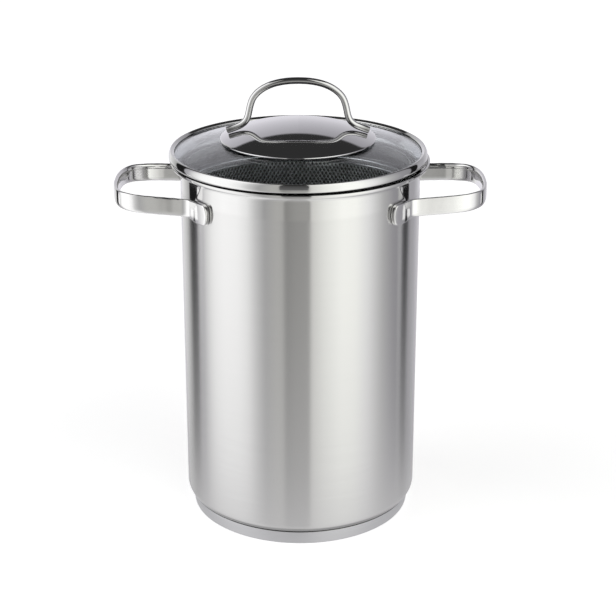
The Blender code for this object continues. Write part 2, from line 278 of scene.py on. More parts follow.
def turned_steel(name, color, rough, aniso, x=0.0, fine=5200.0, depth=0.000004,
                 streak=0.02, spread=0.05, polish=None, painted_inner_shade=None):
    """Steel brushed round the axis: fine lines run round, gloss spreads along Z."""
    mat, nt, b = new_material(name)
    k = Nodes(nt)
    obj = k.new("ShaderNodeTexCoord").outputs["Object"]
    sep = k.new("ShaderNodeSeparateXYZ")
    k.put(obj, sep.inputs[0])
    px = k.math("SUBTRACT", sep.outputs[0], x * MM)
    radius = k.math("SQRT", k.math("ADD", k.math("MULTIPLY", px, px),
                                   k.math("MULTIPLY", sep.outputs[1], sep.outputs[1])))
    # cos and sin of the angle keep the streaks seamless all the way round
    ux = k.math("DIVIDE", px, k.math("MAXIMUM", radius, 0.0001))
    uy = k.math("DIVIDE", sep.outputs[1], k.math("MAXIMUM", radius, 0.0001))
    along = k.math("ADD", sep.outputs[2], radius)
    line = k.noise(k.combine(k.math("MULTIPLY", ux, 3.0), k.math("MULTIPLY", uy, 3.0),
                             k.math("MULTIPLY", along, fine)), 1.0, 3.0, 0.6)
    broad = k.noise(k.combine(k.math("MULTIPLY", ux, 1.4), k.math("MULTIPLY", uy, 1.4),
                              k.math("MULTIPLY", along, fine * 0.09)), 1.0, 2.0, 0.5)
    cloud = k.noise(obj, 14.0, 2.0, 0.5)
    mixed = k.math("ADD", k.math("MULTIPLY", line, 0.45),
                   k.math("ADD", k.math("MULTIPLY", broad, 0.35),
                          k.math("MULTIPLY", cloud, 0.20)))
    shade = k.remap(mixed, 0.3, 0.7, 1.0 - streak, 1.0 + streak)
    gloss = k.remap(mixed, 0.25, 0.75, rough - spread, rough + spread)
    if painted_inner_shade:
        # painted shade: the inside is set darker in colour, and smoother, so that the weave stands
        # out
        wall, tone, smooth = painted_inner_shade
        at = k.remap(radius, wall * MM - 0.0002, wall * MM + 0.0002, 0.0, 1.0)
        shade = k.math("MULTIPLY", shade, k.remap(at, 0.0, 1.0, tone, 1.0))
        gloss = k.math("MULTIPLY", gloss, k.remap(at, 0.0, 1.0, smooth, 1.0))
    k.put(k.tint(color, shade), b.inputs["Base Color"])
    if polish:
        z0, z1, factor = polish
        gloss = k.math("MULTIPLY", gloss, k.remap(sep.outputs[2], z0 * MM, z1 * MM,
                                                  1.0, factor, True))
    k.put(gloss, b.inputs["Roughness"])
    b.inputs["Metallic"].default_value = 1.0
    if aniso:
        b.inputs["Anisotropic"].default_value = aniso
        b.inputs["Anisotropic Rotation"].default_value = 0.25
        tan = k.new("ShaderNodeTangent", direction_type="RADIAL", axis="Z")
        k.put(tan.outputs[0], b.inputs["Tangent"])
    k.put(k.bump(line, depth), b.inputs["Normal"])
    return mat


def polished_steel(name, color, rough, wave=0.00002, wave_scale=55.0, scratch=0.03,
                   feet=None, inner=None):
    """Mirror polish with faint unevenness and hairline scratches."""
    mat, nt, b = new_material(name)
    k = Nodes(nt)
    obj = k.new("ShaderNodeTexCoord").outputs["Object"]
    big = k.noise(obj, wave_scale, 1.0, 0.4)
    haze = k.noise(obj, 320.0, 3.0, 0.6)
    hair = k.new("ShaderNodeTexNoise")
    mp = k.new("ShaderNodeMapping")
    k.put(obj, mp.inputs["Vector"])
    mp.inputs["Rotation"].default_value = (0.4, 0.9, 0.3)
    mp.inputs["Scale"].default_value = (90.0, 2600.0, 2600.0)
    k.put(mp.outputs[0], hair.inputs["Vector"])
    hair.inputs["Scale"].default_value = 1.0
    hair.inputs["Detail"].default_value = 2.0
    lines = k.remap(hair.outputs["Fac"], 0.62, 0.78, 0.0, 1.0)
    r = k.math("ADD", k.remap(haze, 0.3, 0.7, rough * 0.75, rough * 1.25),
               k.math("MULTIPLY", lines, scratch))
    k.put(r, b.inputs["Roughness"])
    shade = k.remap(haze, 0.3, 0.7, 0.985, 1.015)
    if feet:
        # a darker tone towards the ends of the bar, in place of dark reflections
        x, near, far, tone = feet
        sep = k.new("ShaderNodeSeparateXYZ")
        k.put(obj, sep.inputs[0])
        off = k.math("ABSOLUTE", k.math("SUBTRACT", sep.outputs[0], x * MM))
        shade = k.math("MULTIPLY", shade, k.remap(off, near * MM, far * MM, 1.0, tone, True))
    if inner:
        # the same on the legs' sides towards each other
        x, tone = inner
        at = k.new("ShaderNodeSeparateXYZ")
        k.put(obj, at.inputs[0])
        out = k.new("ShaderNodeSeparateXYZ")
        k.put(k.new("ShaderNodeTexCoord").outputs["Normal"], out.inputs[0])
        leg = k.math("SIGN", k.math("SUBTRACT", x * MM, at.outputs[0]))
        towards = k.math("MULTIPLY", leg, out.outputs[0])
        shade = k.math("MULTIPLY", shade, k.remap(towards, 0.15, 0.7, 1.0, tone, True))
    k.put(k.tint(color, shade), b.inputs["Base Color"])
    b.inputs["Metallic"].default_value = 1.0
    k.put(k.bump(big, wave, 1.0), b.inputs["Normal"])
    return mat


def wire_steel(name, color, rough):
    mat, nt, b = new_material(name)
    k = Nodes(nt)
    obj = k.new("ShaderNodeTexCoord").outputs["Object"]
    patch = k.noise(obj, 260.0, 2.0, 0.6)
    fine = k.noise(obj, 2400.0, 2.0, 0.6)
    k.put(k.tint(color, k.remap(patch, 0.3, 0.7, 0.88, 1.10)), b.inputs["Base Color"])
    k.put(k.remap(fine, 0.3, 0.7, rough - 0.05, rough + 0.08), b.inputs["Roughness"])
    b.inputs["Metallic"].default_value = 1.0
    return mat


def cast_aluminium(name, color):
    mat, nt, b = new_material(name)
    k = Nodes(nt)
    obj = k.new("ShaderNodeTexCoord").outputs["Object"]
    grain = k.noise(obj, 900.0, 4.0, 0.65)
    k.put(k.tint(color, k.remap(grain, 0.3, 0.7, 0.92, 1.06)), b.inputs["Base Color"])
    k.put(k.remap(grain, 0.3, 0.7, 0.36, 0.52), b.inputs["Roughness"])
    b.inputs["Metallic"].default_value = 1.0
    k.put(k.bump(grain, 0.00003, 0.6), b.inputs["Normal"])
    return mat


def silicone_rubber(name, color):
    mat, nt, b = new_material(name)
    k = Nodes(nt)
    obj = k.new("ShaderNodeTexCoord").outputs["Object"]
    grain = k.noise(obj, 1500.0, 3.0, 0.6)
    k.put(k.tint(color, k.remap(grain, 0.3, 0.7, 0.85, 1.2)), b.inputs["Base Color"])
    k.put(k.remap(grain, 0.3, 0.7, 0.48, 0.66), b.inputs["Roughness"])
    k.put(k.bump(grain, 0.00002, 0.5), b.inputs["Normal"])
    return mat


def clear_glass(name):
    mat, nt, b = new_material(name)
    k = Nodes(nt)
    obj = k.new("ShaderNodeTexCoord").outputs["Object"]
    haze = k.noise(obj, 180.0, 3.0, 0.6)
    b.inputs["Base Color"].default_value = (0.93, 0.962, 0.982, 1.0)
    b.inputs["Transmission Weight"].default_value = 1.0
    b.inputs["IOR"].default_value = 1.62
    k.put(k.remap(haze, 0.45, 0.8, 0.0, 0.03), b.inputs["Roughness"])
    clear = k.new("ShaderNodeBsdfTransparent")
    clear.inputs["Color"].default_value = (0.965, 0.975, 0.98, 1.0)
    mix = k.new("ShaderNodeMixShader")
    path = k.new("ShaderNodeLightPath")
    out = nt.nodes["Material Output"]
    k.put(path.outputs["Is Shadow Ray"], mix.inputs[0])
    k.put(b.outputs[0], mix.inputs[1])
    k.put(clear.outputs[0], mix.inputs[2])
    k.put(mix.outputs[0], out.inputs["Surface"])
    return mat


# the body's colour inside radius 80.5 mm is darkened to 0.52 as painted shade, and its roughness
# halved there
SATIN = turned_steel("satin_body_steel", (0.64, 0.637, 0.633), 0.21, 1.0, spread=0.03,
                     depth=0.000002, polish=(233.0, 237.0, 0.3),
                     painted_inner_shade=(80.5, 0.52, 0.5))
SATIN_IN = SATIN
BASE = turned_steel("turned_base_steel", (0.60, 0.60, 0.61), 0.36, 0.70)
LIDBAND = turned_steel("polished_lid_band", (0.67, 0.67, 0.665), 0.07, 0.35, x=LID_X,
                       depth=0.0000005, streak=0.01, spread=0.015)
PLATE = turned_steel("polished_plate", (0.72, 0.715, 0.725), 0.055, 0.0, x=LID_X,
                     depth=0.0000003, streak=0.012, spread=0.012)
HANDLE = polished_steel("polished_handle_steel", (0.74, 0.737, 0.735), 0.07)
BAR = polished_steel("polished_bar_steel", (0.68, 0.68, 0.68), 0.05,
                     feet=(LID_X, 40.0, 47.0, 0.42), inner=(LID_X, 0.36))
BANDMAT = turned_steel("basket_band_steel", (0.80, 0.80, 0.80), 0.09, 0.0,
                       depth=0.0000005, spread=0.02)
CLOTH = wire_steel("basket_wire_steel", (0.92, 0.92, 0.92), 0.30)
GRIPMAT = wire_steel("basket_grip_steel", (0.60, 0.60, 0.60), 0.20)
ALU = cast_aluminium("plain_aluminium", (0.72, 0.73, 0.74))
RUBBER = silicone_rubber("dark_silicone", (0.03, 0.03, 0.033))
GLASS = clear_glass("tempered_glass")


def piece(ob, mat, body, slot, *nodes):
    ob.data.materials.clear()
    ob.data.materials.append(mat)
    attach(ob, body)
    if nodes:
        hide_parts(*nodes)
    return ob


# ------------------------------------------------------------------- the body
def smooth_profile(points, step):
    return [(p.x, p.y) for p in spline([(r, z, 0.0) for r, z in points], step)]


def body_shell():
    ci, cr, cz = 6.7, 7.6, 16.6
    inner = [(0.0, 9.9), (30.0, 9.9), (60.0, 9.9)] + arc(73.4, cz, ci, -90, 0, 12)
    lip_in = smooth_profile([
        (80.1, 247.2), (80.35, 248.6), (80.95, 249.7), (81.9, 250.7), (83.1, 251.45),
        (84.5, 252.1), (85.8, 252.8), (86.8, 253.05), (87.2, 252.95), (87.35, 252.6),
        (87.3, 251.5), (87.1, 250.9), (86.6, 250.6), (85.7, 250.7), (84.8, 250.75),
        (83.6, 250.5), (82.5, 249.95), (81.7, 249.15), (81.2, 248.2), (81.0, 247.2)],
        0.35)
    wall_in = [(80.1, z) for z in (60.0, 110.0, 160.0, 210.0, 240.0, 246.0)]
    wall_out = [(81.0, z) for z in (246.0, 240.0, 210.0, 160.0, 110.0, 60.0)]
    outer = arc(73.4, cz, cr, 0, -90, 14) + [(60.0, 9.0), (30.0, 9.0), (0.0, 9.0)]
    return lathe("body_shell", inner + wall_in + lip_in + wall_out + outer, sharp=50)


piece(body_shell(), SATIN, "pot", "satin_steel", "pot_body")

cap = lathe("base_capsule", filleted([
    (0.0, 0.8), (74.9, 0.8), (75.6, 1.6, 0.5), (77.5, 10.0, 0.2), (78.0, 10.0, 0.25),
    (76.35, 0.9, 0.5), (75.2, 0.0, 0.7), (20.0, 0.0), (0.0, 0.0)], closed=False, n=4))
piece(cap, BASE, "pot", "base_steel", "base_cap")
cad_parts["base_core"].data.materials.clear()
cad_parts["base_core"].data.materials.append(ALU)


# --------------------------------------------------------------- side handles
def handle_path():
    """Centreline in plan for +X, from the front pad's tip to the back one."""
    pad = []
    for deg in (43.8, 43.0, 41.8, 39.8, 37.0, 33.2):
        a = math.radians(deg)
        pad.append((PAD_R * math.cos(a), -PAD_R * math.sin(a), 0.0))
    arm = [
        (72.3, -42.2, 0), (76.0, -40.55, 0), (81.5, -39.65, 0), (89.0, -38.9, 0),
        (96.5, -38.1, 0), (104.0, -36.9, 0), (110.5, -34.9, 0), (115.6, -31.9, 0),
        (119.4, -27.6, 0), (121.8, -22.0, 0), (123.2, -15.0, 0), (HANDLE_X, -7.0, 0),
        (HANDLE_X + 0.1, 0.0, 0)]
    half = spline(pad + arm, 0.25)
    back = [Vector((p.x, -p.y, 0.0)) for p in reversed(half[:-1])]
    return half + back


def lookup(table, x):
    for (x0, y0), (x1, y1) in zip(table, table[1:]):
        if x <= x1:
            t = max(0.0, (x - x0) / (x1 - x0))
            return y0 + (y1 - y0) * t * t * (3 - 2 * t)
    return table[-1][1]


def strap(name, side):
    """A flat blank with rounded edges and leaf-shaped ends, bent along the path."""
    path = handle_path()
    s = [0.0]
    for p, q in zip(path, path[1:]):
        s.append(s[-1] + (q - p).length)
    total = s[-1]
    s_np = np.array(s)
    xs, ys = np.array([p.x for p in path]), np.array([p.y for p in path])
    mid_h = [(0.0, 229.9), (67.0, 229.9), (76.0, 230.6), (84.0, 231.05),
             (92.0, 231.45), (100.0, 231.85), (108.0, 232.2), (118.0, 232.8),
             (125.0, 233.1)]

    def half_height(d):
        if d < 5.0:
            return 7.1 * max(0.0, 1 - (1 - d / 5.0) ** 2.6) ** 0.42
        return lookup([(5.0, 7.1), (11.0, 7.1), (22.0, 6.1), (60.0, 6.1),
                       (80.0, 5.6)], d)

    def edge(dist, along, deep):
        """How far the face falls back at this distance from the outline."""
        if dist >= along:
            return 0.0
        return deep * (1 - math.sqrt(max(0.0, 1 - (1 - dist / along) ** 2)))

    # stations: dense at the tips, even along the arms
    tip = [5.0 * (1 - math.cos(math.pi / 2 * i / 22)) ** 1.5 for i in range(1, 22)]
    body = list(np.arange(5.0, total / 2, 0.9))
    first = [0.0] + tip + body
    stations = first + [total - d for d in reversed(first)]
    K = 20
    grid = [u ** 1.8 for u in np.linspace(0, 1, K)]
    crown = 0.12
    verts, outer, inner = [], [], []
    e = 0.02
    for st in stations:
        d = min(st, total - st)
        h = half_height(d)
        slope = (half_height(d + e) - half_height(max(0.0, d - e))) / (2 * e if d > e else e + d)
        x, y = np.interp(st, s_np, xs), np.interp(st, s_np, ys)
        a, b = max(0.0, st - 0.6), min(total, st + 0.6)
        tx = np.interp(b, s_np, xs) - np.interp(a, s_np, xs)
        ty = np.interp(b, s_np, ys) - np.interp(a, s_np, ys)
        ln = math.hypot(tx, ty)
        nx, ny = ty / ln, -tx / ln
        zc = lookup(mid_h, x)
        w = lookup([(0.0, 0.0), (12.0, 0.0), (24.0, 1.0), (60.0, 1.0)], d)
        row_o, row_i = [], []
        vs = [(-1, o) for o in grid] + [(1, o) for o in reversed(grid[:-1])]
        for sign, o in vs:
            off = h * o
            v = sign * (h - off) if h > 0 else 0.0
            dist = off / math.sqrt(1 + slope * slope)
            # on the arms the finger side is well rounded and the outer side
            # has a broad soft edge below; on the pads all edges are small
            if sign > 0:
                do = edge(dist, 0.8 + 0.1 * w, 0.8 + 0.1 * w)
                di = edge(dist, 0.8 + 3.2 * w, 0.8 + 1.3 * w)
            else:
                do = edge(dist, 0.8 + 2.2 * w, 0.8 + 0.3 * w)
                di = edge(dist, 0.8 + 2.2 * w, 0.8 + 0.7 * w)
            dome_out = crown * (1 - min(1.0, dist / 5.0)) ** 2
            to = STRAP_T / 2 - do - dome_out
            ti = -STRAP_T / 2 + di
            row_o.append(len(verts))
            verts.append((side * (x + nx * to), y + ny * to, zc + v))
            row_i.append(len(verts))
            verts.append((side * (x + nx * ti), y + ny * ti, zc + v))
        outer.append(row_o)
        inner.append(row_i)
    faces = []
    m = len(outer[0])
    for i in range(len(stations) - 1):
        for j in range(m - 1):
            faces.append((outer[i][j], outer[i][j + 1], outer[i + 1][j + 1], outer[i + 1][j]))
            faces.append((inner[i][j], inner[i + 1][j], inner[i + 1][j + 1], inner[i][j + 1]))
        for j in (0, m - 1):
            faces.append((outer[i][j], outer[i + 1][j], inner[i + 1][j], inner[i][j]))
    ob = mesh_object(name, verts, faces, sharp=None)
    bm = bmesh.new()
    bm.from_mesh(ob.data)
    bmesh.ops.remove_doubles(bm, verts=bm.verts, dist=0.000004)
    bmesh.ops.recalc_face_normals(bm, faces=bm.faces)
    bm.to_mesh(ob.data)
    bm.free()
    ob.data.shade_smooth()
    ob.data.set_sharp_from_angle(angle=math.radians(50))
    return ob


piece(strap("handle_strap_left", -1), HANDLE, "pot", "polished_steel", "side_handle_left")
piece(strap("handle_strap_right", 1), HANDLE, "pot", "polished_steel", "side_handle_right")


# ------------------------------------------------------------------ the basket
def rings_to_tubes(paths, radius, sides):
    """The paths of many thin tubes of equal point count, with their unit tangents and counts."""
    paths = np.asarray(paths, float)                       # wires, points, 3
    n, m, _ = paths.shape
    t = np.empty_like(paths)
    t[:, 1:-1] = paths[:, 2:] - paths[:, :-2]
    t[:, 0] = paths[:, 1] - paths[:, 0]
    t[:, -1] = paths[:, -1] - paths[:, -2]
    t /= np.linalg.norm(t, axis=2, keepdims=True)
    return paths, t, n, m


def build_tubes(name, paths, outward, radius, sides=4):
    """outward gives the side of each path point that faces away from the cloth."""
    paths, t, n, m = rings_to_tubes(paths, radius, sides)
    u = outward - t * np.sum(outward * t, axis=2, keepdims=True)
    u /= np.linalg.norm(u, axis=2, keepdims=True)
    w = np.cross(t, u)
    ang = np.arange(sides) * math.tau / sides + math.pi / sides
    ring = (paths[:, :, None, :]
            + radius * (np.cos(ang)[None, None, :, None] * u[:, :, None, :]
                        + np.sin(ang)[None, None, :, None] * w[:, :, None, :]))
    verts = ring.reshape(-1, 3) * MM
    base = (np.arange(n)[:, None, None] * m + np.arange(m - 1)[None, :, None]) * sides
    k = np.arange(sides)[None, None, :]
    k2 = (k + 1) % sides
    quads = np.stack([base + k, base + k2, base + sides + k2, base + sides + k], axis=-1)
    quads = quads.reshape(-1, 4)
    caps0 = (np.arange(n)[:, None] * m * sides + np.arange(sides)[None, ::-1])
    caps1 = ((np.arange(n)[:, None] * m + m - 1) * sides + np.arange(sides)[None, :])
    faces = np.concatenate([quads, caps0, caps1]) if sides == 4 else quads
    me = bpy.data.meshes.new(name)
    me.vertices.add(len(verts))
    me.vertices.foreach_set("co", verts.astype(np.float32).ravel())
    me.loops.add(faces.size)
    me.loops.foreach_set("vertex_index", faces.astype(np.int32).ravel())
    me.polygons.add(len(faces))
    me.polygons.foreach_set("loop_start", (np.arange(len(faces)) * 4).astype(np.int32))
    me.polygons.foreach_set("loop_total", np.full(len(faces), 4, np.int32))
    me.update(calc_edges=True)
    me.validate()
    me.shade_smooth()
    return link(bpy.data.objects.new(name, me))


def side_cloth(name, turn, count=168, row=2.3, top=229.4, low=22.4):
    """One family of helical wires, woven over and under the other family."""
    rows = int((top - low) / row)
    per = math.tau / count / 2                             # angle between rows
    amp = WIRE * 0.48
    pts, out = [], []
    # the bottom corner runs inward along a quarter round of radius 5.2
    n_low = 5
    for i in range(n_low):
        a = math.radians(-90 + 90 * i / n_low)
        r = CLOTH_R - 5.2 + 5.2 * math.cos(a)
        z = low + 5.2 * math.sin(a) - 0.6
        th = turn * per * (i - n_low)
        pts.append((r, z, th))
        out.append((math.cos(a), math.sin(a)))
    for i in range(rows + 1):
        sign = 1 if i % 2 == 0 else -1
        pts.append((CLOTH_R + turn * sign * amp * 0.6, low + i * row, turn * per * i))
        out.append((1.0, 0.0))
    pts, out = np.array(pts), np.array(out)
    start = np.arange(count) * math.tau / count
    th = pts[None, :, 2] + start[:, None]
    paths = np.stack([pts[None, :, 0] * np.cos(th), pts[None, :, 0] * np.sin(th),
                      np.broadcast_to(pts[None, :, 1], th.shape)], axis=-1)
    outward = np.stack([out[None, :, 0] * np.cos(th), out[None, :, 0] * np.sin(th),
                        np.broadcast_to(out[None, :, 1], th.shape)], axis=-1)
    return build_tubes(name, paths, outward, WIRE / 2)


def floor_cloth(name, along_x, pitch=2.5, radius=73.4, z=15.5):
    """Straight wires of the floor's plain weave, cut to the disc."""
    amp = WIRE * 0.48
    half = int(radius / pitch)
    paths, m = [], 2 * half + 1
    coords = np.arange(-half, half + 1) * pitch
    objs = []
    for i, c in enumerate(coords):
        if abs(c) > radius - 1.0:
            continue
        reach = math.sqrt(radius ** 2 - c ** 2)
        q = np.clip(coords, -reach, reach)
        sign = np.where((np.arange(m) + i) % 2 == 0, 1.0, -1.0)
        zz = z + sign * amp * 0.5 * (1 if along_x else -1)
        # beyond the disc the points gather at its edge, so spread them evenly
        keep = np.abs(coords) < reach
        line = np.column_stack([coords, zz])[keep]
        line = np.vstack([[-reach, z], line, [reach, z]])
        objs.append((c, line))
    most = max(len(l) for _, l in objs)
    for c, line in objs:
        t_old = np.linspace(0, 1, len(line))
        pad = most - len(line)
        if pad:
            extra = np.repeat(line[-1:], pad, axis=0).copy()
            step = 0.02 / pad
            extra[:, 0] += step * np.arange(1, pad + 1)
            line = np.vstack([line, extra])
        if along_x:
            p = np.column_stack([line[:, 0], np.full(most, c), line[:, 1]])
        else:
            p = np.column_stack([np.full(most, c), line[:, 0], line[:, 1]])
        paths.append(p)
    paths = np.array(paths)
    outward = np.zeros_like(paths)
    outward[..., 2] = 1.0
    return build_tubes(name, paths, outward, WIRE / 2)


piece(side_cloth("basket_cloth_right_hand", 1), CLOTH, "basket", "basket_wire", "basket_wall")
piece(side_cloth("basket_cloth_left_hand", -1), CLOTH, "basket", "basket_wire", "basket_wall")
piece(floor_cloth("basket_floor_cloth_x", True), CLOTH, "basket", "basket_wire", "basket_floor")
piece(floor_cloth("basket_floor_cloth_y", False), CLOTH, "basket", "basket_wire", "basket_floor")

band = lathe("basket_band", filleted([
    (76.9, 233.0, 0.35), (77.4, 233.5, 0.3), (78.3, 233.5, 0.3), (78.8, 232.9, 0.3),
    (78.75, 232.3, 0.2), (78.5, 231.9, 0.2), (78.5, 229.9, 0.2), (78.75, 229.5, 0.2),
    (78.8, 228.9, 0.2), (78.3, 228.5, 0.2), (77.3, 228.5, 0.2), (76.9, 228.9, 0.2),
    (77.0, 229.6, 0.2), (77.2, 229.9, 0.2), (77.2, 231.9, 0.2), (77.0, 232.3, 0.2)],
    n=3))
piece(band, BANDMAT, "basket", "polished_steel", "basket_top_band")
foot = lathe("basket_foot", filleted([
    (71.4, 14.9, 0.5), (74.4, 14.9, 0.5), (74.4, 10.2, 0.6), (71.4, 10.2, 0.6)], n=5),
    steps=192)
piece(foot, BANDMAT, "basket", "polished_steel", "basket_foot_ring")


def eye(name, side, y0, y1):
    """The punched ear that a grip turns in: D-shaped, edges rounded."""
    cx, cz, r, rh = side * 70.9, 231.0, 2.9, 1.9
    n = 40
    rows = []

    def outline(grow):
        pts = []
        for i in range(n):
            a = math.tau * i / n
            dx, dz = math.cos(a), math.sin(a)
            if dx * side > 0:                              # towards the band
                q = min((3.4 - grow) / max(abs(dx), 1e-6), (r - grow) / max(abs(dz), 1e-6))
                pts.append((cx + dx * q, cz + dz * q))
            else:
                pts.append((cx + dx * (r - grow), cz + dz * (r - grow)))
        return pts

    def hole(grow):
        return [(cx + math.cos(math.tau * i / n) * (rh + grow),
                 cz + math.sin(math.tau * i / n) * (rh + grow)) for i in range(n)]

    e = 0.3
    loops = [(hole(e), y0), (hole(0), y0 + e), (hole(0), y1 - e), (hole(e), y1),
             (outline(e), y1), (outline(0), y1 - e), (outline(0), y0 + e), (outline(e), y0)]
    verts = []
    for pts, y in loops:
        rows.append(list(range(len(verts), len(verts) + n)))
        verts.extend((px, y, pz) for px, pz in pts)
    faces = []
    for a, b in zip(rows, rows[1:] + rows[:1]):
        for i in range(n):
            j = (i + 1) % n
            faces.append((a[i], a[j], b[j], b[i]))
    return mesh_object(name, verts, faces, 40)


def grip_path(side):
    x, h, n, z = side * 70.9, 18.0, 21.0, 231.0
    half = [(x, -9.4, z), (x, -12.0, z), (x, -(h - 2.8), z)]
    for u, v in arc(h - 2.8, z - 2.8, 2.8, 84, 0, 14):
        half.append((x, -u, v))
    for v in (224.0, 220.0):
        half.append((x, -h, v))
    for u, v in arc(h - 7.0, z - n + 7.0, 7.0, 0, -90, 22):
        half.append((x, -u, v))
    for u in (8.0, 4.0, 0.0):
        half.append((x, -u, z - n))
    return half + [(p[0], -p[1], p[2]) for p in reversed(half[:-1])]


for label, side in (("left", -1), ("right", 1)):
    for where, y0, y1 in (("front", -14.6, -10.6), ("rear", 10.6, 14.6)):
        piece(eye("basket_eye_%s_%s" % (label, where), side, y0, y1), BANDMAT,
              "basket", "polished_steel", "grip_lug_%s_%s" % (label, where))
    piece(tube("basket_bail_" + label, grip_path(side), 1.5, sides=20, ends=0.3),
          GRIPMAT, "grip_" + label, "basket_wire", "basket_grip_" + label)


# --------------------------------------------------------------------- the lid
def dome(r):
    return DOME_Z - DOME_K * r * r


def plate_top(r):
    return PLATE_TOP - PLATE_RC + math.sqrt(PLATE_RC ** 2 - r * r)


# the band is one strip: rolled over the glass, then down as the centring skirt
rim_profile = (smooth_profile([
    (83.12, 258.66), (83.2, 258.95), (84.3, 259.75), (84.95, 260.12), (85.4, 260.2),
    (85.9, 259.85), (86.4, 259.05), (86.9, 257.6), (87.1, 256.0), (86.95, 254.9),
    (86.5, 254.35),
    (85.8, 253.8), (84.6, 253.5), (83.6, 253.35), (82.8, 253.0), (81.5, 252.2),
    (80.0, 251.2), (78.9, 250.3), (78.3, 249.0)], 0.25)
    + [(78.3, 245.0), (78.3, 241.2), (78.22, 240.9), (77.95, 240.7), (77.7, 240.8),
       (77.55, 241.1), (77.5, 245.0)]
    + smooth_profile([
        (77.5, 249.2), (78.2, 250.8), (79.4, 251.9), (81.0, 253.0), (82.3, 253.8),
        (83.3, 254.1), (85.2, 254.15), (85.95, 254.6), (86.25, 255.6), (86.2, 256.8),
        (85.85, 258.2), (85.45, 259.1), (85.0, 259.35), (84.4, 259.1), (83.2, 258.62)],
        0.4))
piece(lathe("lid_band", rim_profile, closed=True, x=LID_X), LIDBAND, "lid",
      "polished_steel", "lid_rim")

radii = [5.0, 8.0] + list(range(12, 80, 4)) + [80.5, 82.0, 83.5]
glass_profile = ([(r, dome(r)) for r in radii]
                 + smooth_profile([(84.5, dome(84.5)), (85.5, 257.2), (85.9, 256.1),
                                   (85.5, 255.0), (84.4, dome(84.4) - GLASS_T)], 0.4)
                 + [(r, dome(r) - GLASS_T) for r in reversed(radii)])
piece(lathe("lid_glass_dome", glass_profile, closed=True, x=LID_X), GLASS, "lid",
      "clear_glass", "lid_glass")

tops = [0.0] + [3.0 * i for i in range(1, 17)] + [49.5, 50.5]
plate_profile = ([(r, plate_top(r)) for r in tops]
                 + smooth_profile([(51.4, plate_top(51.4)), (51.9, 267.58), (52.22, 267.3),
                                   (52.3, 266.9), (52.05, 266.5), (51.5, 266.35),
                                   (51.1, 266.6), (50.9, plate_top(50.9) - 0.95)], 0.12)
                 + [(r, plate_top(r) - 1.0) for r in reversed(tops)])
piece(lathe("lid_handle_plate", plate_profile, x=LID_X, sharp=60), PLATE, "lid",
      "polished_steel", "lid_plate")

bow_half = [
    (0.0, 305.9), (6.0, 305.65), (12.0, 304.8), (17.8, 303.2), (23.2, 300.6),
    (27.4, 297.3), (30.0, 293.9), (31.6, 289.8), (32.6, 285.6), (33.5, 281.8),
    (35.2, 278.4), (38.4, 275.65), (43.0, 273.65), (47.7, 271.95)]
half = spline([(x, 0.0, z) for x, z in bow_half], 0.9)
bow_path = ([(LID_X - p.x, 0.0, p.z) for p in reversed(half[1:])]
            + [(LID_X + p.x, 0.0, p.z) for p in half])
piece(tube("lid_bow", bow_path, 2.3, sides=32, ends=0.4), BAR, "lid",
      "polished_steel", "lid_bow_handle")


def lid_ring(name, r0, r1, low, high, steps=128):
    pts = [(r0, high(r0), 0.25), ((r0 + r1) / 2, high((r0 + r1) / 2)), (r1, high(r1), 0.25),
           (r1, low(r1), 0.25), ((r0 + r1) / 2, low((r0 + r1) / 2)), (r0, low(r0), 0.25)]
    return lathe(name, filleted(pts, n=3), steps=steps, closed=True, x=LID_X)


piece(lid_ring("seal_upper", 43.6, 47.4, lambda r: dome(r) + 0.3,
               lambda r: plate_top(r) - 1.3), RUBBER, "lid", "silicone", "lid_seal_upper")
piece(lid_ring("seal_lower", 3.6, 13.0, lambda r: 264.8, lambda r: 265.95), RUBBER,
      "lid", "silicone", "lid_seal_lower")
piece(lid_ring("clamp_washer", 3.6, 11.5, lambda r: 263.4, lambda r: 264.5), BANDMAT,
      "lid", "polished_steel", "lid_washer")


def threaded_stud(name):
    """The stud, with thread turned on its lower half."""
    prof = [(0.0, 276.25), (2.6, 276.25), (3.0, 275.85), (3.0, 265.1)]
    z = 264.9
    while z > 259.8:
        prof += [(3.0, z), (2.7, z - 0.25)]
        z -= 0.5
    prof += [(2.6, 259.4), (2.3, 259.1), (0.0, 259.1)]
    return lathe(name, prof, steps=48, x=LID_X)


piece(threaded_stud("clamp_stud"), BANDMAT, "lid", "satin_steel", "lid_stud")


def cap_nut(name):
    """A hexagon nut with chamfered crown and a blind bore."""
    n = 72
    rows, verts = [], []

    def hexa(r, turn_to_round):
        pts = []
        for i in range(n):
            a = math.tau * i / n
            w = (a % (math.tau / 6)) - math.tau / 12
            h = 5.0 / math.cos(w)
            pts.append((r * (h / 5.77 * (1 - turn_to_round) + turn_to_round), a))
        return pts

    for r, z, rnd in ((3.4, 263.1, 1), (4.6, 263.1, 1), (5.35, 263.1, 0.9),
                      (5.77, 262.7, 0.0), (5.77, 258.7, 0.0), (5.5, 258.1, 0.75),
                      (5.0, 257.65, 1), (2.5, 257.5, 1)):
        rows.append(list(range(len(verts), len(verts) + n)))
        for q, a in hexa(r, rnd):
            verts.append((LID_X + q * math.cos(a), q * math.sin(a), z))
    verts.append((LID_X, 0.0, 257.5))
    tip = len(verts) - 1
    rows_b = list(range(len(verts), len(verts) + n))
    verts.extend((LID_X + 3.4 * math.cos(math.tau * i / n),
                  3.4 * math.sin(math.tau * i / n), 258.7) for i in range(n))
    verts.append((LID_X, 0.0, 258.7))
    top = len(verts) - 1
    faces = []
    for a, b in zip(rows, rows[1:]):
        for i in range(n):
            j = (i + 1) % n
            faces.append((a[i], a[j], b[j], b[i]))
    for i in range(n):
        j = (i + 1) % n
        faces.append((rows[-1][i], rows[-1][j], tip))
        faces.append((rows[0][j], rows[0][i], rows_b[i], rows_b[j]))
        faces.append((rows_b[j], rows_b[i], top))
    return mesh_object(name, verts, faces, 30)


piece(cap_nut("clamp_cap_nut"), BANDMAT, "lid", "polished_steel", "lid_nut")


